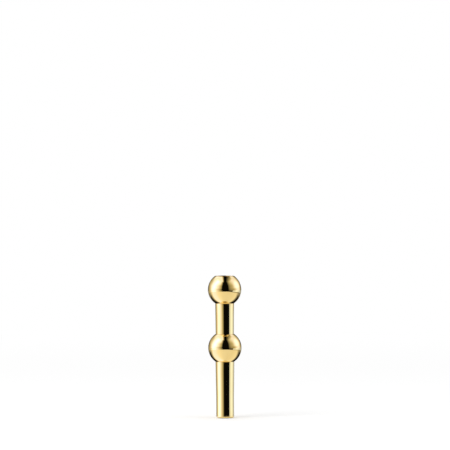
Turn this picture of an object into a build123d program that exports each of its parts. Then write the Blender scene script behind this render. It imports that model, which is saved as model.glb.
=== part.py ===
from build123d import *
import os
from math import sqrt

# Slim polished brass vase for a few thin stems: two turned balls on a gently tapered tube.
# It stands on its foot, and the plain lower end of the stem also plugs into a holder's cup.
# The tubes carry soldered bushes whose threaded spigots screw into the balls, so that it comes
# apart for cleaning, and rubber rings keep the water in.
# Millimetres, +Z up, origin where the axis meets the foot's underside.

# Balls: how far they stand out past the tube's widest end, and the plain web inside the lower one
BALL_SHOULDER = 5.25
BALL_WEB = 3.0

# Mouth: a plain socket bored in the top of the upper ball
MOUTH_RADIUS = 6.55
MOUTH_LIP = 0.38
MOUTH_DEPTH = 11.3
MOUTH_CHAMFER = 0.15

# Tubes: the lengths that show outside the balls, the plain plug at the foot and the tapers
NECK_SHOWN = 22.1
STEM_SHOWN = 40.6
LET_IN = 1.5
PLUG_RADIUS = 6.375
PLUG_LENGTH = 16.0
STEM_FLARE = 0.375
NECK_TAPER = 0.2
FOOT_WALL = 0.875
EDGE_BREAK = 0.12

# Bushes, with a fine metric thread of 60 degrees on their spigots
BUSH_LENGTH = 8.0
BUSH_WALL = 0.7
LEAD_IN = 0.4
THREAD_PITCH = 0.75
THREAD_RELIEF = 0.06
thread_depth_share = 0.5413
thread_flat_share = 0.125

# Rubber rings: the cord they are cut from, and how they are squeezed in their pockets
SEAL_SECTION = 1.0
seal_squeeze_share = 0.2
seal_room_share = 1.1
seal_corner_share = 0.45

# Plug that closes the foot
FOOT_EDGE = 1.1
FOOT_LAND = 0.5
FOOT_PLUG_HEIGHT = 5.0
FOOT_GROOVE_START = 1.6

# Clearances, each on the radius or on one side, and the overrun of every cut
TUBE_CLEARANCE = 0.03
SOLDER_GAP = 0.03
THREAD_CLEARANCE = 0.06
SEAL_GAP = 0.02
END_GAP = 0.2
OVERRUN = 1.0

# Radii that follow from these
bore_radius = PLUG_RADIUS - FOOT_WALL
tube_top_radius = PLUG_RADIUS + STEM_FLARE
neck_foot_radius = tube_top_radius - NECK_TAPER
ball_radius = tube_top_radius + BALL_SHOULDER
thread_depth = THREAD_PITCH * thread_depth_share
spigot_crest = bore_radius - SOLDER_GAP
spigot_root = spigot_crest - thread_depth
hole_root = spigot_crest + THREAD_CLEARANCE
hole_crest = hole_root - thread_depth
relief_radius = spigot_root - THREAD_RELIEF
bush_bore_radius = relief_radius - BUSH_WALL
pocket_depth = SEAL_SECTION * (1 - seal_squeeze_share)
pocket_width = SEAL_SECTION * seal_room_share
pocket_radius = relief_radius + pocket_width


def rim_offset(radius):
    """Height between a ball's centre and the circle of this radius on its surface."""
    return sqrt(ball_radius**2 - radius**2)


# Heights, built up from the foot
foot_flange = FOOT_EDGE + FOOT_LAND
lower_centre = STEM_SHOWN + rim_offset(tube_top_radius + TUBE_CLEARANCE)
neck_bottom = lower_centre + rim_offset(neck_foot_radius + TUBE_CLEARANCE)
neck_top = neck_bottom + NECK_SHOWN
upper_centre = neck_top + rim_offset(tube_top_radius + TUBE_CLEARANCE)
mouth_height = upper_centre + rim_offset(MOUTH_RADIUS + MOUTH_LIP)
mouth_floor = mouth_height - MOUTH_DEPTH


class ScrewedJoint:
    """Where a tube's end meets a ball. Depths run from the seat into the ball, up or down."""

    def __init__(self, rim, up, tube_radius, ball_centre, end):
        self.up = up
        self.seat = rim + up * LET_IN
        self.tube_radius = tube_radius
        self.pole_depth = -LET_IN - ball_radius + abs(ball_centre - rim)
        self.end_depth = abs(end - self.seat)
        self.spigot_depth = self.end_depth - END_GAP
        self.turns = int((self.spigot_depth - pocket_depth - EDGE_BREAK) / THREAD_PITCH)

    def height(self, depth):
        return self.seat + self.up * depth

    def outline(self, points):
        """Points of radius and depth as points of radius and height."""
        return [(radius, self.height(depth)) for radius, depth in points]


stem_joint = ScrewedJoint(STEM_SHOWN, 1, tube_top_radius, lower_centre, lower_centre - BALL_WEB / 2)
neck_foot_joint = ScrewedJoint(neck_bottom, -1, neck_foot_radius, lower_centre, lower_centre + BALL_WEB / 2)
neck_head_joint = ScrewedJoint(neck_top, 1, tube_top_radius, upper_centre, mouth_floor)


def thread_points(joint, crest, root):
    """Radius and depth along the thread, turn by turn, from the seal's pocket inwards."""
    flat = THREAD_PITCH * thread_flat_share
    flank = (THREAD_PITCH - 3 * flat) / 2
    points = []
    for turn in range(joint.turns):
        start = pocket_depth + turn * THREAD_PITCH
        points.append((root, start + flat))
        points.append((crest, start + flat + flank))
        points.append((crest, start + 2 * flat + flank))
        points.append((root, start + 2 * flat + 2 * flank))
    return points


def section_of(points):
    """A closed outline of radius and height, as a section to turn about the axis."""
    with BuildSketch(Plane.XZ) as section:
        with BuildLine():
            Polyline(*points, close=True)
        make_face()
    return section.sketch


def cut_joint(joint):
    """Cut a tube's counterbore, the seal's pocket and the threaded hole into the ball."""
    counterbore = joint.tube_radius + TUBE_CLEARANCE
    points = [
        (0, joint.pole_depth - OVERRUN),
        (counterbore, joint.pole_depth - OVERRUN),
        (counterbore, 0),
        (pocket_radius, 0),
        (pocket_radius, pocket_depth),
        (hole_crest, pocket_depth),
    ]
    # The hole's thread is the spigot's, moved out by the clearance, so the two interlock
    points += thread_points(joint, hole_root, hole_crest)
    points += [(hole_crest, joint.end_depth + END_GAP), (0, joint.end_depth + END_GAP)]
    revolve(section_of(joint.outline(points)), axis=Axis.Z, mode=Mode.SUBTRACT)


def bush_outline(joint):
    """Bush: a smooth end soldered in the tube, a relief that carries the seal and a threaded spigot."""
    points = [
        (bush_bore_radius + LEAD_IN, -BUSH_LENGTH),
        (spigot_crest - EDGE_BREAK, -BUSH_LENGTH),
        (spigot_crest, EDGE_BREAK - BUSH_LENGTH),
        (spigot_crest, 0),
        (relief_radius, 0),
        (relief_radius, pocket_depth),
        (spigot_root, pocket_depth),
    ]
    points += thread_points(joint, spigot_crest, spigot_root)
    points += [
        (spigot_root, joint.spigot_depth - EDGE_BREAK),
        (spigot_root - EDGE_BREAK, joint.spigot_depth),
        (bush_bore_radius + LEAD_IN, joint.spigot_depth),
        (bush_bore_radius, joint.spigot_depth - LEAD_IN),
        (bush_bore_radius, LEAD_IN - BUSH_LENGTH),
    ]
    return joint.outline(points)


def seal_section(inner_radius, low, width, height):
    """A squeezed rubber ring's section, a little clear of the pocket's walls all round."""
    drawn_width = width - 2 * SEAL_GAP
    drawn_height = height - 2 * SEAL_GAP
    corner = min(drawn_width, drawn_height) * seal_corner_share
    with BuildSketch(Plane.XZ) as section:
        with Locations((inner_radius + width / 2, low + height / 2)):
            RectangleRounded(drawn_width, drawn_height, corner)
    return section.sketch


def finish(piece, name):
    piece.part.label = name
    export_step(piece.part, "parts/" + name + ".step")


# Upper ball: a turned ball, faced off at the mouth and bored with the plain socket from above.
# The neck screws in from below.
with BuildPart() as upper_ball:
    with Locations((0, 0, upper_centre)):
        Sphere(ball_radius)
    split(bisect_by=Plane.XY.offset(mouth_height), keep=Keep.BOTTOM)
    revolve(
        section_of(
            [
                (0, mouth_floor),
                (MOUTH_RADIUS, mouth_floor),
                (MOUTH_RADIUS, mouth_height - MOUTH_CHAMFER),
                (MOUTH_RADIUS + MOUTH_CHAMFER, mouth_height),
                (MOUTH_RADIUS + MOUTH_CHAMFER, mouth_height + OVERRUN),
                (0, mouth_height + OVERRUN),
            ]
        ),
        axis=Axis.Z,
        mode=Mode.SUBTRACT,
    )
    cut_joint(neck_head_joint)
finish(upper_ball, "upper_ball")

# Lower ball: threaded from both sides, with a plain web of the tapping size between
with BuildPart() as lower_ball:
    with Locations((0, 0, lower_centre)):
        Sphere(ball_radius)
        Cylinder(hole_crest, BALL_WEB + 2 * END_GAP, mode=Mode.SUBTRACT)
    cut_joint(stem_joint)
    cut_joint(neck_foot_joint)
finish(lower_ball, "lower_ball")

# Neck tube: tapers down to the lower ball, with short straight ends let into both balls
with BuildPart() as neck_tube:
    with BuildSketch(Plane.XZ):
        with BuildLine():
            Polyline(
                (bore_radius, neck_foot_joint.seat),
                (neck_foot_radius - EDGE_BREAK, neck_foot_joint.seat),
                (neck_foot_radius, neck_foot_joint.seat + EDGE_BREAK),
                (neck_foot_radius, neck_bottom),
                (tube_top_radius, neck_top),
                (tube_top_radius, neck_head_joint.seat - EDGE_BREAK),
                (tube_top_radius - EDGE_BREAK, neck_head_joint.seat),
                (bore_radius, neck_head_joint.seat),
                close=True,
            )
        make_face()
    revolve(axis=Axis.Z)
finish(neck_tube, "neck_tube")

# Stem tube: a straight plug at the foot, then a taper up to the lower ball
with BuildPart() as stem_tube:
    with BuildSketch(Plane.XZ):
        with BuildLine():
            Polyline(
                (bore_radius, foot_flange),
                (PLUG_RADIUS, foot_flange),
                (PLUG_RADIUS, PLUG_LENGTH),
                (tube_top_radius, STEM_SHOWN),
                (tube_top_radius, stem_joint.seat - EDGE_BREAK),
                (tube_top_radius - EDGE_BREAK, stem_joint.seat),
                (bore_radius, stem_joint.seat),
                close=True,
            )
        make_face()
    revolve(axis=Axis.Z)
finish(stem_tube, "stem_tube")

# Bushes and rubber rings of the three screwed joints
joints = {
    "neck_top": neck_head_joint,
    "neck_bottom": neck_foot_joint,
    "stem_top": stem_joint,
}
for place, joint in joints.items():
    with BuildPart() as bush:
        revolve(section_of(bush_outline(joint)), axis=Axis.Z)
    finish(bush, place + "_bush")

    seal_low = min(joint.seat, joint.height(pocket_depth))
    with BuildPart() as seal:
        revolve(seal_section(relief_radius, seal_low, pocket_width, pocket_depth), axis=Axis.Z)
    finish(seal, place + "_seal")

# Base plug: closes the stem's foot, with a rounded edge and a groove for its own rubber ring
groove_low = foot_flange + FOOT_GROOVE_START
groove_high = groove_low + pocket_width
groove_radius = bore_radius - pocket_depth
with BuildPart() as base_plug:
    with BuildSketch(Plane.XZ):
        with BuildLine():
            Polyline(
                (0, 0),
                (PLUG_RADIUS, 0),
                (PLUG_RADIUS, foot_flange),
                (spigot_crest, foot_flange),
                (spigot_crest, groove_low),
                (groove_radius, groove_low),
                (groove_radius, groove_high),
                (spigot_crest, groove_high),
                (spigot_crest, foot_flange + FOOT_PLUG_HEIGHT - EDGE_BREAK),
                (spigot_crest - EDGE_BREAK, foot_flange + FOOT_PLUG_HEIGHT),
                (0, foot_flange + FOOT_PLUG_HEIGHT),
                close=True,
            )
        make_face()
    revolve(axis=Axis.Z)
    fillet(base_plug.faces().sort_by(Axis.Z)[0].edges(), FOOT_EDGE)
finish(base_plug, "base_plug")

with BuildPart() as base_seal:
    revolve(seal_section(groove_radius, groove_low, pocket_depth, pocket_width), axis=Axis.Z)
finish(base_seal, "base_seal")
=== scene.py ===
from math import atan2, ceil, cos, pi, radians, sin, sqrt, tan

import bpy
from mathutils import Matrix, Vector


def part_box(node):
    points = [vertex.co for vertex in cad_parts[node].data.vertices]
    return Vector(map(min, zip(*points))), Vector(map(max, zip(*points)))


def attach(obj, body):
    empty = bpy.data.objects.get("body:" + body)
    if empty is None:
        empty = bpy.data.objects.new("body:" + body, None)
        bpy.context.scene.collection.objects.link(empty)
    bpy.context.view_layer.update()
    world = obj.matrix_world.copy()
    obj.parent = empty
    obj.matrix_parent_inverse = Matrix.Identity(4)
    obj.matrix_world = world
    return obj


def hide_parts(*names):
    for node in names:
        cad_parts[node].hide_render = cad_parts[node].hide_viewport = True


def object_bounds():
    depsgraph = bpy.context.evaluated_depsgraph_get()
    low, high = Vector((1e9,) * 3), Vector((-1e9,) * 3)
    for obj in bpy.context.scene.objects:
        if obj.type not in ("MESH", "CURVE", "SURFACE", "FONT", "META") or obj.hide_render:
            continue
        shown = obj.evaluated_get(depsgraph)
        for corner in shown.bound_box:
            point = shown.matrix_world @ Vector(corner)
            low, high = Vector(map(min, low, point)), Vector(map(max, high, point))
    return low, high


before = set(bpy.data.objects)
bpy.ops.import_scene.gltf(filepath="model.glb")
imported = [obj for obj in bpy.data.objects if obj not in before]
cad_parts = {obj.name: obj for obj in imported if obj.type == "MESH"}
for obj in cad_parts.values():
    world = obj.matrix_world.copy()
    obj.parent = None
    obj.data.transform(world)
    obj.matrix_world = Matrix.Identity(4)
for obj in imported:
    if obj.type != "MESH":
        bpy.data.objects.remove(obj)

cad_low, cad_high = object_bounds()


# Camera. A long lens, almost level with the vase, which stands as low in the picture as it does in
# the photograph. It looks down a little, and it rolls by the slight lean that the vase has there.
PICTURE_PIXELS = 450.0
METRES_PER_PIXEL = 0.00072
CAMERA_LENS = 400.0
CAMERA_SENSOR = 36.0
CAMERA_TILT = radians(2.5)
CAMERA_ROLL = radians(-0.29)
CAMERA_FAR = 100.0
MOUTH_PIXEL_X = 224.5
MOUTH_PIXEL_Y = 276.06

camera_distance = PICTURE_PIXELS * METRES_PER_PIXEL * CAMERA_LENS / CAMERA_SENSOR
pixels_up = MOUTH_PIXEL_Y - PICTURE_PIXELS / 2
pixels_right = PICTURE_PIXELS / 2 - MOUTH_PIXEL_X - pixels_up * sin(CAMERA_ROLL)
aim = Vector((pixels_right * METRES_PER_PIXEL, 0, cad_high.z + pixels_up * METRES_PER_PIXEL))
backwards = Vector((0, -cos(CAMERA_TILT), sin(CAMERA_TILT)))

camera = bpy.data.objects.new("camera", bpy.data.cameras.new("camera"))
bpy.context.scene.collection.objects.link(camera)
bpy.context.scene.camera = camera
camera.data.lens = CAMERA_LENS
camera.data.sensor_width = CAMERA_SENSOR
camera.data.clip_end = CAMERA_FAR
camera.matrix_world = (
    Matrix.Translation(aim + backwards * camera_distance)
    @ (-backwards).to_track_quat("-Z", "Y").to_matrix().to_4x4()
    @ Matrix.Rotation(CAMERA_ROLL, 4, "Z")
)
bpy.context.scene.view_settings.view_transform = "Standard"


# White world. Seen directly, in metal or through glass it has a strength of 1, so the background is
# white all round. It lights the floor softly from every side, a little weaker than that.
WHITE = (1.0, 1.0, 1.0, 1.0)
AMBIENT_STRENGTH = 0.93


class Value:
    """A socket that can be used in a sum."""

    def __init__(self, finish, socket):
        self.finish = finish
        self.socket = socket

    def maths(self, operation, first, second):
        return self.finish.node("ShaderNodeMath", {"operation": operation}, {0: first, 1: second})

    def __add__(self, other):
        return self.maths("ADD", self, other)

    def __radd__(self, other):
        return self.maths("ADD", other, self)

    def __sub__(self, other):
        return self.maths("SUBTRACT", self, other)

    def __rsub__(self, other):
        return self.maths("SUBTRACT", other, self)

    def __mul__(self, other):
        return self.maths("MULTIPLY", self, other)

    def __rmul__(self, other):
        return self.maths("MULTIPLY", other, self)

    def __truediv__(self, other):
        return self.maths("DIVIDE", self, other)

    def __pow__(self, other):
        return self.maths("POWER", self, other)

    def __abs__(self):
        return self.maths("ABSOLUTE", self, 0)


class Finish:
    """The nodes of one material, or of the world."""

    def __init__(self, owner):
        owner.use_nodes = True
        self.owner = owner
        self.tree = owner.node_tree
        self.tree.nodes.clear()

    def node(self, kind, settings, sockets, output=0):
        """Add a node: its settings first, then its sockets' values or links, and give one output."""
        made = self.tree.nodes.new(kind)
        for name, value in settings.items():
            if name == "stops":
                ramp = made.color_ramp.elements
                while len(ramp) < len(value):
                    ramp.new(1.0)
                for stop, (place, level) in zip(ramp, value):
                    stop.position = place
                    stop.color = (level, level, level, 1.0)
            else:
                setattr(made, name, value)
        for name, value in sockets.items():
            if isinstance(value, Value):
                self.tree.links.new(value.socket, made.inputs[name])
            else:
                made.inputs[name].default_value = value
        return Value(self, made.outputs[output]) if made.outputs else None

    def ease(self, value, start, end):
        """0 up to the start, 1 from the end on, and smooth between them."""
        sockets = {"Value": value, "From Min": start, "From Max": end}
        return self.node("ShaderNodeMapRange", {"interpolation_type": "SMOOTHSTEP"}, sockets)

    def part(self, place, axis):
        """One part of a place: X is to the right, Y is away from the camera and Z is up."""
        return self.node("ShaderNodeSeparateXYZ", {}, {0: place}, axis)


world = bpy.data.worlds.new("white world")
bpy.context.scene.world = world
finish = Finish(world)
seen = 0
for ray in ("Is Camera Ray", "Is Glossy Ray", "Is Transmission Ray"):
    seen = seen + finish.node("ShaderNodeLightPath", {}, {}, ray)
strength = AMBIENT_STRENGTH + seen * (1 - AMBIENT_STRENGTH)
background = finish.node("ShaderNodeBackground", {}, {"Color": WHITE, "Strength": strength})
finish.node("ShaderNodeOutputWorld", {}, {"Surface": background})


# Floor. A wide matt white board that keeps the vase's soft shadow. Away from the vase the camera
# sees it as white as the world, so that no edge shows. The metal mirrors the table below instead.
FLOOR_SIZE = 60.0
FLOOR_DROP = 0.00002
FLOOR_COLOUR = (0.94, 0.94, 0.94, 1.0)
FADE_FROM = 0.1
FADE_TO = 0.9

bpy.ops.object.select_all(action="DESELECT")
bpy.ops.mesh.primitive_plane_add(size=FLOOR_SIZE, location=(0, 0, -FLOOR_DROP))
floor = bpy.context.object
floor.name = "floor"
floor.visible_glossy = False
finish = Finish(bpy.data.materials.new("matt white board"))
place = finish.node("ShaderNodeTexCoord", {}, {}, "Object")
distance = finish.node("ShaderNodeVectorMath", {"operation": "LENGTH"}, {0: place}, "Value")
camera_ray = finish.node("ShaderNodeLightPath", {}, {}, "Is Camera Ray")
fading = finish.ease(distance, FADE_FROM, FADE_TO) * camera_ray
board = finish.node("ShaderNodeBsdfDiffuse", {}, {"Color": FLOOR_COLOUR})
glow = finish.node("ShaderNodeEmission", {}, {"Color": WHITE})
surface = finish.node("ShaderNodeMixShader", {}, {0: fading, 1: board, 2: glow})
finish.node("ShaderNodeOutputMaterial", {}, {"Surface": surface})
floor.data.materials.append(finish.owner)


# Lamps. Two large soft lamps throw the shadow on the floor. The metal doesn't mirror them, because
# the tent below is what it mirrors. Each has its place, its size in metres and its power in watts.
LAMPS = {
    "key lamp": ((-0.7, -0.5, 0.9), 0.6, 3.0),
    "fill lamp": ((0.9, -0.3, 0.7), 0.8, 1.5),
}

for name, (place, size, power) in LAMPS.items():
    lamp = bpy.data.objects.new(name, bpy.data.lights.new(name, "AREA"))
    bpy.context.scene.collection.objects.link(lamp)
    lamp.data.size = size
    lamp.data.energy = power
    lamp.location = place
    lamp.rotation_euler = (-Vector(place)).to_track_quat("-Z", "Y").to_euler()
    lamp.visible_glossy = False


# Tent. A globe of thin white cloth round the vase, which only the metal sees. Softboxes make it bright
# on the left and the right, and a black gap in front runs on over the top. The table closes it below.
TENT_RADIUS = 1.2
TENT_HEIGHT = 0.07
TENT_SEGMENTS = 72
TENT_RINGS = 36
TENT_EDGE = radians(-9.95)

# Layers of cloth, from the table upwards. Each takes over from the last one between two heights, in
# shares of the radius. Then come its levels, each at an azimuth: 0 is towards the camera, and 90 is
# to the right. No level is above the peak.
TENT_PEAK = 2.5
TENT_LAYERS = (
    (-1.0, -0.9, (
        (-180, 0.2), (-150, 0.3), (-122, 0.6), (-100, 1.3), (-88, 2.0), (-70, 1.8), (-60, 1.22),
        (-46, 0.92), (-32, 0.6), (-20, 0.25), (-17.5, 0.2), (-15.5, 0.004), (57, 0.004), (58.5, 0.8),
        (66, 0.9), (78, 1.03), (92, 1.27), (112, 0.95), (140, 0.52), (180, 0.2))),
    (-0.121, -0.096, (
        (-180, 0.2), (-150, 0.3), (-122, 0.6), (-100, 1.15), (-88, 1.6), (-70, 1.5), (-53, 1.2),
        (-40, 0.95), (-27, 0.57), (-20, 0.33), (-15.5, 0.26), (-12.5, 0.004), (59, 0.004),
        (60.5, 0.8), (66, 0.82), (78, 0.97), (92, 1.28), (112, 1.0), (140, 0.5), (180, 0.2))),
    (-0.062, -0.047, (
        (-180, 0.0), (-165, 0.0), (-150, 0.17), (-135, 0.42), (-120, 0.74), (-105, 1.15), (-90, 2.1),
        (-75, 2.0), (-65, 1.4), (-55, 1.05), (-45, 0.82), (-35, 0.55), (-25, 0.25), (-21, 0.12),
        (-18, 0.004), (27.5, 0.004), (32, 0.13), (45, 0.31), (55, 0.39), (65, 0.46), (75, 0.68),
        (85, 0.94), (95, 1.18), (105, 1.3), (118, 1.2), (135, 0.6), (150, 0.17), (165, 0.0), (180, 0.0))),
    (0.05, 0.25, (
        (-180, 0.0), (-165, 0.1), (-150, 0.45), (-135, 0.58), (-120, 0.88), (-105, 1.25), (-90, 2.1),
        (-78, 2.5), (-66, 2.1), (-55, 1.35), (-45, 1.12), (-35, 0.82), (-25, 0.5), (-20.5, 0.28),
        (-17.5, 0.004), (27, 0.004), (32, 0.2), (45, 0.44), (55, 0.54), (65, 0.74), (75, 1.08),
        (85, 1.35), (95, 1.8), (105, 1.8), (118, 1.5), (135, 0.8), (150, 0.45), (165, 0.1), (180, 0.0))),
    (0.42, 0.75, (
        (-180, 0.4), (-165, 0.9), (-150, 1.5), (-135, 1.4), (-120, 1.2), (-105, 1.4), (-90, 2.0),
        (-75, 2.5), (-60, 2.3), (-45, 1.5), (-30, 1.1), (-14, 0.004), (24, 0.004), (45, 0.58),
        (60, 0.83), (75, 1.02), (90, 1.15), (105, 1.15), (120, 1.05), (135, 1.1), (150, 1.3),
        (165, 0.9), (180, 0.4))),
)

# Two panels at the very top, one on each side of the gap, by their place across it
TOP_FROM = 0.78
TOP_AT = 0.9
LEFT_PANEL_TO = -0.24
LEFT_PANEL_LEVEL = 1.25
GAP_FROM = -0.03
GAP_TO = 0.1
RIGHT_PANEL_FROM = 0.8
RIGHT_PANEL_LEVEL = 1.1

# The light is warm where it is dim and cool where it is bright, and cool all over low on the right
WARM_WHITE = (1.0, 0.965, 0.77, 1.0)
COOL_WHITE = (0.97, 1.03, 1.5, 1.0)
COOL_FROM = 0.55
COOL_AT = 1.25
LOW_RIGHT_WHITE = (0.98, 1.14, 1.56, 1.0)
RIGHT_FROM = 0.3
RIGHT_AT = 0.7
LOW_BELOW = -0.047
LOW_AT = -0.062


def blend(finish, share, first, second):
    """One colour with a share of another. They are a Mix node's sockets 6 and 7, and its output 2."""
    return finish.node("ShaderNodeMix", {"data_type": "RGBA"}, {0: share, 6: first, 7: second}, 2)


def for_the_metal(part, finish, level, colour):
    """Let a part of the studio glow at this level, for the metal alone."""
    shine = finish.node("ShaderNodeVectorMath", {"operation": "SCALE"}, {0: colour, "Scale": level})
    glow = finish.node("ShaderNodeEmission", {}, {"Color": shine})
    finish.node("ShaderNodeOutputMaterial", {}, {"Surface": glow})
    part.data.materials.append(finish.owner)
    for ray in ("camera", "diffuse", "transmission", "volume_scatter", "shadow"):
        setattr(part, "visible_" + ray, False)


def around(finish, place, levels):
    """The level at a place, from levels by azimuth."""
    turned = finish.node("ShaderNodeMapping", {}, {"Vector": place, "Rotation": (0, 0, pi / 2)})
    azimuth = finish.node("ShaderNodeTexGradient", {"gradient_type": "RADIAL"}, {"Vector": turned}, "Fac")
    stops = [((degrees + 180) / 360, level / TENT_PEAK) for degrees, level in levels]
    return finish.node("ShaderNodeValToRGB", {"stops": stops}, {"Fac": azimuth}) * TENT_PEAK


bpy.ops.object.select_all(action="DESELECT")
bpy.ops.mesh.primitive_uv_sphere_add(segments=TENT_SEGMENTS, ring_count=TENT_RINGS, radius=TENT_RADIUS,
                                     location=(0, 0, TENT_HEIGHT), enter_editmode=True)
tent = bpy.context.object
tent.name = "tent"
edge_height = TENT_HEIGHT + TENT_RADIUS * sin(TENT_EDGE)
bpy.ops.mesh.select_all(action="SELECT")
bpy.ops.mesh.bisect(plane_co=(0, 0, edge_height), plane_no=(0, 0, -1), clear_outer=True)
bpy.ops.object.mode_set(mode="OBJECT")
finish = Finish(bpy.data.materials.new("tent"))
place = finish.node("ShaderNodeTexCoord", {}, {}, "Object")
across = finish.part(place, "X")
up = finish.part(place, "Z")
level = 0
for layer_from, layer_at, levels in TENT_LAYERS:
    share = finish.ease(up, TENT_RADIUS * layer_from, TENT_RADIUS * layer_at)
    level = level + (around(finish, place, levels) - level) * share
left_panel = 1 - finish.ease(across, TENT_RADIUS * LEFT_PANEL_TO, TENT_RADIUS * GAP_FROM)
right_panel = finish.ease(across, TENT_RADIUS * GAP_TO, TENT_RADIUS * RIGHT_PANEL_FROM)
panels = left_panel * LEFT_PANEL_LEVEL + right_panel * RIGHT_PANEL_LEVEL
level = level + (panels - level) * finish.ease(up, TENT_RADIUS * TOP_FROM, TENT_RADIUS * TOP_AT)
tint = blend(finish, finish.ease(level, COOL_FROM, COOL_AT), WARM_WHITE, COOL_WHITE)
low_right = finish.ease(across, TENT_RADIUS * RIGHT_FROM, TENT_RADIUS * RIGHT_AT)
low_right = low_right * (1 - finish.ease(up, TENT_RADIUS * LOW_AT, TENT_RADIUS * LOW_BELOW))
tint = blend(finish, low_right, tint, LOW_RIGHT_WHITE)
for_the_metal(tent, finish, level, tint)


# Table. White, for the metal alone, and it falls away a little to the tent's edge. It is brighter on
# the left, dim towards its right end, and a painted shade darkens it close round the foot. A dark
# cloth fans out on it behind the vase.
TABLE_LEVELS = (
    (-180, 1.0), (-150, 1.15), (-120, 1.25), (-85, 1.27), (-70, 1.25), (-58, 1.18), (-40, 1.1),
    (-15, 0.98), (20, 0.93), (60, 0.95), (90, 1.02), (120, 1.02), (180, 0.95),
)
TABLE_COOL_FROM = 1.1

# The dim part begins, is full, fades again and is past at these places to the right
DIM_LEVEL = 0.4
DIM_FROM = 0.42
DIM_TO = 0.6
DIM_UNTIL = 0.7
DIM_PAST = 1.05

# The cloth starts a little behind the vase and fans out. Its far end is lit.
CLOTH_START = 0.019
CLOTH_TIP = 0.002
CLOTH_FAN = 0.5
CLOTH_SPREAD = 1.25
CLOTH_FALL = 1.5
CLOTH_LEVEL = 0.005
CLOTH_FAR_LEVEL = 0.22
CLOTH_FAR_FROM = 0.28
CLOTH_FAR_TO = 0.44

# The foot's painted shade: the table's glow grows darker close round the foot
PAINTED_SHADE_FROM = 0.0052
PAINTED_SHADE_TO = 0.0072

table_radius = TENT_RADIUS * cos(TENT_EDGE)
bpy.ops.object.select_all(action="DESELECT")
bpy.ops.mesh.primitive_cone_add(vertices=TENT_SEGMENTS, radius1=table_radius, depth=-edge_height,
                                end_fill_type="NOTHING", location=(0, 0, edge_height / 2))
table = bpy.context.object
table.name = "table"
finish = Finish(bpy.data.materials.new("table"))
place = finish.node("ShaderNodeTexCoord", {}, {}, "Object")
across = finish.part(place, "X")
along = finish.part(place, "Y")
distance = (across**2 + along**2) ** 0.5
level = around(finish, place, TABLE_LEVELS)
dim_share = finish.ease(across, DIM_FROM, DIM_TO) - finish.ease(across, DIM_UNTIL, DIM_PAST)
level = level + (DIM_LEVEL - level) * dim_share
far_share = finish.ease(distance, CLOTH_FAR_FROM, CLOTH_FAR_TO)
cloth_level = CLOTH_LEVEL + far_share * (CLOTH_FAR_LEVEL - CLOTH_LEVEL)
behind = (along - CLOTH_START) / (abs(across) ** CLOTH_SPREAD * CLOTH_FAN + CLOTH_TIP)
behind = finish.node("ShaderNodeMath", {"operation": "MAXIMUM"}, {0: behind, 1: 0})
bare = finish.node("ShaderNodeMath", {"operation": "EXPONENT"}, {0: 0 - behind**CLOTH_FALL})
level = cloth_level + (level - cloth_level) * bare
# Painted shade: the foot's shadow on the table, drawn as a weaker glow close round it
level = level * finish.ease(distance, PAINTED_SHADE_FROM, PAINTED_SHADE_TO)
tint = blend(finish, finish.ease(level, TABLE_COOL_FROM, COOL_AT), WHITE, COOL_WHITE)
for_the_metal(table, finish, level, tint)


# Upper ball. Turned from solid brass bar and mirror polished. Its top is faced off and bored with the
# plain mouth, and the neck screws into it from below, where a pocket holds the rubber ring.
MOUTH_RADIUS = 0.00655
MOUTH_LIP = 0.00038
MOUTH_DEPTH = 0.0113
MOUTH_CHAMFER = 0.00015
LIP_ROUND = 0.0001
EDGE_ROUND = 0.00005
LET_IN = 0.0015
TUBE_CLEARANCE = 0.00003
POCKET_RADIUS = 0.006104
POCKET_DEPTH = 0.0008

# Fine metric thread, whose crests are an eighth of the pitch wide
THREAD_PITCH = 0.00075
THREAD_FLAT = THREAD_PITCH / 8
THREAD_DEPTH = THREAD_PITCH * 0.5413
THREAD_TURNS = 7
HOLE_ROOT = 0.00553

# How finely a piece is turned, and how far off a rounded corner its straight sides are held
SEGMENTS = 160
ARC_STEP = radians(1.5)
ROUND_STEP = radians(15.0)
SMOOTH_ANGLE = radians(25.0)
MERGE_DISTANCE = 0.000001
HOLD = 0.00004


def radius_of(node):
    """A turned node's largest radius."""
    low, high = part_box(node)
    return max(high.x, high.y, -low.x, -low.y)


def arc(middle_height, radius, start, end):
    """Corners along an arc about a point on the axis, without the two ends."""
    count = ceil(abs(end - start) / ARC_STEP)
    angles = [start + (end - start) * k / count for k in range(1, count)]
    return [(radius * cos(angle), middle_height + radius * sin(angle), 0) for angle in angles]


def thread(seat, up, crest, root):
    """Corners along a thread, turn by turn, from the rubber ring's pocket inwards."""
    flank = (THREAD_PITCH - 3 * THREAD_FLAT) / 2
    turn_corners = (
        (root, 0), (crest, flank), (crest, flank + THREAD_FLAT), (root, 2 * flank + THREAD_FLAT))
    corners = []
    for count in range(THREAD_TURNS):
        start = POCKET_DEPTH + count * THREAD_PITCH + THREAD_FLAT
        corners += [(radius, seat + up * (start + depth), 0) for radius, depth in turn_corners]
    return corners


def round_off(outline):
    """Round the corners that have a size, and hold the straight stretches beside them."""
    points = []
    for k, (radius, height, size) in enumerate(outline):
        corner = Vector((radius, height))
        if not size:
            points.append(corner)
            continue
        back = (Vector(outline[k - 1][:2]) - corner).normalized()
        ahead = (Vector(outline[(k + 1) % len(outline)][:2]) - corner).normalized()
        half_angle = back.angle(ahead) / 2
        reach = size / tan(half_angle)
        middle = corner + (back + ahead).normalized() * (size / sin(half_angle))
        first = corner + back * reach - middle
        last = corner + ahead * reach - middle
        steps = ceil((pi - 2 * half_angle) / ROUND_STEP)
        points.append(corner + back * (reach + HOLD))
        for step in range(steps + 1):
            points.append(middle + first.lerp(last, step / steps).normalized() * size)
        points.append(corner + ahead * (reach + HOLD))
    return points


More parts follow.
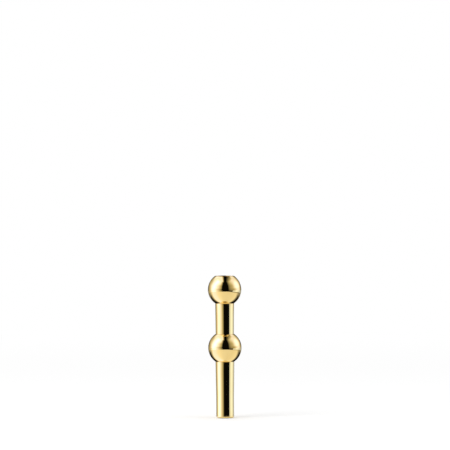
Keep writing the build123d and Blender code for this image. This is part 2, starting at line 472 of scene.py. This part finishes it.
def turn(name, outline, hollow=True):
    """Turn a piece as on the lathe: one ring, extruded on from point to point of its outline.

    Each point has its radius, its height and the size of its rounding. The outline of a hollow piece
    is closed, and that of a solid one ends at the axis, where the two small holes are filled.
    """
    points = round_off(outline)
    path = points[1:]
    if hollow:
        path = path + points[:1]
    radius, height = points[0]
    bpy.ops.object.select_all(action="DESELECT")
    bpy.ops.mesh.primitive_circle_add(vertices=SEGMENTS, radius=radius, location=(0, 0, 0),
                                      enter_editmode=True)
    piece = bpy.context.object
    piece.name = name
    piece.data.name = name
    bpy.ops.mesh.select_all(action="SELECT")
    bpy.ops.transform.translate(value=(0, 0, height))
    for next_radius, next_height in path:
        move = {"value": (0, 0, next_height - height)}
        bpy.ops.mesh.extrude_edges_move(TRANSFORM_OT_translate=move)
        growth = next_radius / radius
        bpy.ops.transform.resize(value=(growth, growth, 1), center_override=(0, 0, next_height))
        radius, height = next_radius, next_height
    bpy.ops.mesh.select_all(action="SELECT")
    bpy.ops.mesh.remove_doubles(threshold=MERGE_DISTANCE)
    if not hollow:
        bpy.ops.mesh.fill_holes(sides=0)
    bpy.ops.mesh.select_all(action="SELECT")
    bpy.ops.mesh.normals_make_consistent(inside=False)
    bpy.ops.object.mode_set(mode="OBJECT")
    bpy.ops.object.shade_smooth_by_angle(angle=SMOOTH_ANGLE)
    return piece


# Brass, fresh from the polishing cloth, a little warmer, as turned, and tarnished
POLISHED_COLOUR = (0.905, 0.677, 0.28, 1.0)
WARM_COLOUR = (0.89, 0.645, 0.25, 1.0)
TURNED_COLOUR = (0.76, 0.56, 0.26, 1.0)
TARNISH_COLOUR = (0.4, 0.24, 0.09, 1.0)
POLISHED_ROUGHNESS = 0.015
TURNED_ROUGHNESS = 0.2

# Rings that the lathe left
RING_WIDTH = 0.0004
TURNED_RING_HEIGHT = 0.000003
POLISHED_RING_HEIGHT = 0.0000001
RING_ROUGHNESS = 0.12

# Fine scratches, which lean three ways
SCRATCH_LEANS = (0.2, -0.7, 1.8)
SCRATCH_STRETCH = 50
SCRATCH_WIDTH = 0.0003
SCRATCH_FROM = 0.74
SCRATCH_AT = 0.8
SCRATCH_DEPTH = 0.0000001
SCRATCH_ROUGHNESS = 0.035

# The cloth's cloudy smears, and the faint waves that it polished into the metal
SMEAR_SIZE = 0.009
SMEAR_FROM = 0.45
SMEAR_AT = 0.7
SMEAR_ROUGHNESS = 0.03
WAVE_SIZE = 0.007
WAVE_HEIGHT = 0.000012

# Tarnish in the joints, where the polishing cloth can't reach
TARNISH_FULL = 0.00005
TARNISH_PAST = 0.00035
TARNISH_SPOTS = 0.002
TARNISH_LEAST = 0.1
TARNISH_IN_SPOTS = 0.5
TARNISH_ROUGHNESS = 0.06


def noise(finish, place, size, detail=2.0):
    """Noise from 0 to 1, whose spots are about this wide."""
    sockets = {"Vector": place, "Scale": 1 / size, "Detail": detail}
    return finish.node("ShaderNodeTexNoise", {}, sockets, "Fac")


def brass(piece, polished_from, joints=()):
    """Brass, mirror polished outside a radius and as turned inside it, tarnished at the joints."""
    finish = Finish(bpy.data.materials.new(piece.name + " brass"))
    place = finish.node("ShaderNodeTexCoord", {}, {}, "Object")
    across = finish.part(place, "X")
    along = finish.part(place, "Y")
    up = finish.part(place, "Z")
    radius = (across**2 + along**2) ** 0.5
    polished = finish.ease(radius, polished_from - EDGE_ROUND, polished_from + EDGE_ROUND)

    ring_place = finish.node("ShaderNodeCombineXYZ", {}, {"X": radius, "Z": up})
    rings = noise(finish, ring_place, RING_WIDTH)
    azimuth = finish.node("ShaderNodeMath", {"operation": "ARCTAN2"}, {0: across, 1: 0 - along})
    round_it = azimuth * radius
    scratches = 0
    for lean in SCRATCH_LEANS:
        sockets = {"X": up + round_it * lean, "Y": (round_it - up * lean) / SCRATCH_STRETCH, "Z": lean}
        scratch_place = finish.node("ShaderNodeCombineXYZ", {}, sockets)
        lines = noise(finish, scratch_place, SCRATCH_WIDTH, detail=0.0)
        scratches = scratches + finish.ease(lines, SCRATCH_FROM, SCRATCH_AT)
    smears = finish.ease(noise(finish, place, SMEAR_SIZE, detail=3.0), SMEAR_FROM, SMEAR_AT)
    tarnish = 0
    for joint in joints:
        tarnish = tarnish + (1 - finish.ease(abs(up - joint), TARNISH_FULL, TARNISH_PAST))
    spots = TARNISH_LEAST + noise(finish, place, TARNISH_SPOTS) * TARNISH_IN_SPOTS
    tarnish = tarnish * spots * polished

    tone = blend(finish, smears, POLISHED_COLOUR, WARM_COLOUR)
    tone = blend(finish, polished, TURNED_COLOUR, tone)
    tone = blend(finish, tarnish, tone, TARNISH_COLOUR)
    bright = POLISHED_ROUGHNESS + smears * SMEAR_ROUGHNESS + scratches * SCRATCH_ROUGHNESS
    bright = bright + tarnish * TARNISH_ROUGHNESS
    dull = TURNED_ROUGHNESS + rings * RING_ROUGHNESS
    roughness = dull + (bright - dull) * polished
    ring_height = TURNED_RING_HEIGHT - polished * (TURNED_RING_HEIGHT - POLISHED_RING_HEIGHT)
    height = noise(finish, place, WAVE_SIZE, detail=0.0) * WAVE_HEIGHT
    height = height - scratches * SCRATCH_DEPTH + rings * ring_height
    bump = finish.node("ShaderNodeBump", {}, {"Height": height, "Distance": 1.0})
    sockets = {"Base Color": tone, "Metallic": 1.0, "Roughness": roughness, "Normal": bump}
    metal = finish.node("ShaderNodeBsdfPrincipled", {}, sockets)
    finish.node("ShaderNodeOutputMaterial", {}, {"Surface": metal})
    piece.data.materials.append(finish.owner)


ball_radius = max(radius_of("upper_ball"), radius_of("lower_ball"))
tube_top_radius = radius_of("stem_tube")
seat_radius = tube_top_radius + TUBE_CLEARANCE
upper_low, upper_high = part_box("upper_ball")
upper_centre = upper_low.z + sqrt(ball_radius**2 - seat_radius**2)
upper_seat = upper_low.z + LET_IN
rim_radius = MOUTH_RADIUS + MOUTH_LIP
mouth_floor = upper_high.z - MOUTH_DEPTH
hole_crest = HOLE_ROOT - THREAD_DEPTH

outline = [(seat_radius, upper_low.z, EDGE_ROUND)]
outline += arc(upper_centre, ball_radius, atan2(upper_low.z - upper_centre, seat_radius),
               atan2(upper_high.z - upper_centre, rim_radius))
outline += [
    (rim_radius, upper_high.z, LIP_ROUND),
    (MOUTH_RADIUS + MOUTH_CHAMFER, upper_high.z, EDGE_ROUND),
    (MOUTH_RADIUS, upper_high.z - MOUTH_CHAMFER, EDGE_ROUND),
    (MOUTH_RADIUS, mouth_floor, EDGE_ROUND),
    (hole_crest, mouth_floor, EDGE_ROUND),
]
outline += reversed(thread(upper_seat, 1, HOLE_ROOT, hole_crest))
outline += [
    (hole_crest, upper_seat + POCKET_DEPTH, 0),
    (POCKET_RADIUS, upper_seat + POCKET_DEPTH, 0),
    (POCKET_RADIUS, upper_seat, 0),
    (seat_radius, upper_seat, 0),
]
upper_ball = turn("polished_upper_ball", outline)
brass(upper_ball, MOUTH_RADIUS + MOUTH_CHAMFER / 2, (upper_low.z,))
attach(upper_ball, "root")
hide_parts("upper_ball")


# Neck tube. Drawn brass tube, tapered a little towards the lower ball and polished outside. Both of
# its ends are let into the balls, and a bush is soldered into each.
BORE_RADIUS = 0.0055
EDGE_BREAK = 0.00012
neck_low, neck_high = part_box("neck_tube")
lower_low, lower_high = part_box("lower_ball")
lower_centre = lower_low.z + sqrt(ball_radius**2 - seat_radius**2)
neck_seat_radius = sqrt(ball_radius**2 - (lower_high.z - lower_centre) ** 2)
neck_foot_radius = neck_seat_radius - TUBE_CLEARANCE

neck_tube = turn("polished_neck_tube", [
    (BORE_RADIUS, neck_low.z, 0),
    (neck_foot_radius - EDGE_BREAK, neck_low.z, 0),
    (neck_foot_radius, neck_low.z + EDGE_BREAK, 0),
    (neck_foot_radius, lower_high.z, 0),
    (tube_top_radius, upper_low.z, 0),
    (tube_top_radius, neck_high.z - EDGE_BREAK, 0),
    (tube_top_radius - EDGE_BREAK, neck_high.z, 0),
    (BORE_RADIUS, neck_high.z, 0),
])
brass(neck_tube, (BORE_RADIUS + neck_foot_radius) / 2, (lower_high.z, upper_low.z))
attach(neck_tube, "root")
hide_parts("neck_tube")


# Lower ball. Turned and polished like the upper one, and threaded from both sides for the neck and
# the stem. A plain web between the two holes stops both spigots.
stem_low, stem_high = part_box("stem_tube")

outline = [(seat_radius, lower_low.z, EDGE_ROUND)]
outline += arc(lower_centre, ball_radius, atan2(lower_low.z - lower_centre, seat_radius),
               atan2(lower_high.z - lower_centre, neck_seat_radius))
outline += [
    (neck_seat_radius, lower_high.z, EDGE_ROUND),
    (neck_seat_radius, neck_low.z, 0),
    (POCKET_RADIUS, neck_low.z, 0),
    (POCKET_RADIUS, neck_low.z - POCKET_DEPTH, 0),
    (hole_crest, neck_low.z - POCKET_DEPTH, 0),
]
outline += thread(neck_low.z, -1, HOLE_ROOT, hole_crest)
outline += reversed(thread(stem_high.z, 1, HOLE_ROOT, hole_crest))
outline += [
    (hole_crest, stem_high.z + POCKET_DEPTH, 0),
    (POCKET_RADIUS, stem_high.z + POCKET_DEPTH, 0),
    (POCKET_RADIUS, stem_high.z, 0),
    (seat_radius, stem_high.z, 0),
]
lower_ball = turn("polished_lower_ball", outline)
brass(lower_ball, (POCKET_RADIUS + neck_seat_radius) / 2, (lower_low.z, lower_high.z))
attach(lower_ball, "root")
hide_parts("lower_ball")


# Stem tube. Drawn brass tube, straight at the foot, where it also plugs into a holder's cup, and then
# flared up to the lower ball. It is polished outside, and the foot plug is pressed into its end.
PLUG_LENGTH = 0.016
TAPER_ROUND = 0.01
plug_radius = radius_of("base_plug")

stem_tube = turn("polished_stem_tube", [
    (BORE_RADIUS, stem_low.z, 0),
    (plug_radius, stem_low.z, EDGE_ROUND / 2),
    (plug_radius, PLUG_LENGTH, TAPER_ROUND),
    (tube_top_radius, lower_low.z, 0),
    (tube_top_radius, stem_high.z - EDGE_BREAK, 0),
    (tube_top_radius - EDGE_BREAK, stem_high.z, 0),
    (BORE_RADIUS, stem_high.z, 0),
])
brass(stem_tube, (BORE_RADIUS + plug_radius) / 2, (lower_low.z,))
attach(stem_tube, "root")
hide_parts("stem_tube")


# Foot plug. Turned from brass bar with a rounded, polished edge and a plain faced underside. It closes
# the stem, and a rubber ring in its groove keeps the water in.
FOOT_EDGE = 0.0011
SPIGOT_CREST = 0.00547
FOOT_GROOVE_START = 0.0016
FOOT_GROOVE_WIDTH = 0.0011
FACED_RADIUS = 0.0052
plug_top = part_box("base_plug")[1].z
groove_low = stem_low.z + FOOT_GROOVE_START
groove_radius = BORE_RADIUS - POCKET_DEPTH

foot_plug = turn("polished_foot_plug", [
    (EDGE_ROUND, 0, 0),
    (plug_radius, 0, FOOT_EDGE),
    (plug_radius, stem_low.z, EDGE_ROUND / 2),
    (SPIGOT_CREST, stem_low.z, 0),
    (SPIGOT_CREST, groove_low, 0),
    (groove_radius, groove_low, 0),
    (groove_radius, groove_low + FOOT_GROOVE_WIDTH, 0),
    (SPIGOT_CREST, groove_low + FOOT_GROOVE_WIDTH, 0),
    (SPIGOT_CREST, plug_top - EDGE_BREAK, 0),
    (SPIGOT_CREST - EDGE_BREAK, plug_top, 0),
    (EDGE_ROUND, plug_top, 0),
], hollow=False)
brass(foot_plug, FACED_RADIUS, (stem_low.z,))
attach(foot_plug, "root")
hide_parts("base_plug")


# Bushes. Short turned brass sleeves, soldered into the tubes' ends. The relief beside the thread
# carries the rubber ring, and the bore lets the water through.
BUSH_LENGTH = 0.008
BUSH_BORE = 0.004304
RELIEF_RADIUS = 0.005004
LEAD_IN = 0.0004


def bush(node, seat, up):
    """A bush, whose spigot points up or down the axis from its seat."""
    low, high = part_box(node)
    spigot_end = high.z if up > 0 else low.z
    spigot_root = SPIGOT_CREST - THREAD_DEPTH
    outline = [
        (BUSH_BORE + LEAD_IN, seat - up * BUSH_LENGTH, 0),
        (SPIGOT_CREST - EDGE_BREAK, seat - up * BUSH_LENGTH, 0),
        (SPIGOT_CREST, seat - up * (BUSH_LENGTH - EDGE_BREAK), 0),
        (SPIGOT_CREST, seat, 0),
        (RELIEF_RADIUS, seat, 0),
        (RELIEF_RADIUS, seat + up * POCKET_DEPTH, 0),
        (spigot_root, seat + up * POCKET_DEPTH, 0),
    ]
    outline += thread(seat, up, SPIGOT_CREST, spigot_root)
    outline += [
        (spigot_root, spigot_end - up * EDGE_BREAK, 0),
        (spigot_root - EDGE_BREAK, spigot_end, 0),
        (BUSH_BORE + LEAD_IN, spigot_end, EDGE_ROUND),
        (BUSH_BORE, spigot_end - up * LEAD_IN, EDGE_ROUND),
        (BUSH_BORE, seat - up * (BUSH_LENGTH - LEAD_IN), 0),
    ]
    piece = turn("turned_" + node, outline)
    brass(piece, ball_radius)
    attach(piece, "root")
    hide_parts(node)


bush("neck_top_bush", upper_seat, 1)
bush("neck_bottom_bush", neck_low.z, -1)
bush("stem_top_bush", stem_high.z, 1)


# Rubber rings. Cut from black rubber cord and squeezed in their pockets, so they stay in their CAD
# shape. The rubber is matt, with the grey bloom that it gets with age.
RUBBER_COLOUR = (0.02, 0.02, 0.021, 1.0)
RUBBER_ROUGHNESS = 0.5
BLOOM_COLOUR = (0.075, 0.073, 0.07, 1.0)
BLOOM_SIZE = 0.0012
BLOOM_FROM = 0.45
BLOOM_AT = 0.7
BLOOM_ROUGHNESS = 0.3
GRAIN_SIZE = 0.00015
GRAIN_HEIGHT = 0.00001

for name in ("neck_top_seal", "neck_bottom_seal", "stem_top_seal", "base_seal"):
    finish = Finish(bpy.data.materials.new(name + " rubber"))
    place = finish.node("ShaderNodeTexCoord", {}, {}, "Object")
    bloom = finish.ease(noise(finish, place, BLOOM_SIZE, detail=4.0), BLOOM_FROM, BLOOM_AT)
    grain = noise(finish, place, GRAIN_SIZE) * GRAIN_HEIGHT
    bump = finish.node("ShaderNodeBump", {}, {"Height": grain, "Distance": 1.0})
    rubber = finish.node("ShaderNodeBsdfPrincipled", {}, {
        "Base Color": blend(finish, bloom, RUBBER_COLOUR, BLOOM_COLOUR),
        "Roughness": RUBBER_ROUGHNESS + bloom * BLOOM_ROUGHNESS,
        "Normal": bump,
    })
    finish.node("ShaderNodeOutputMaterial", {}, {"Surface": rubber})
    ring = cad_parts[name]
    ring.data.materials.clear()
    ring.data.materials.append(finish.owner)
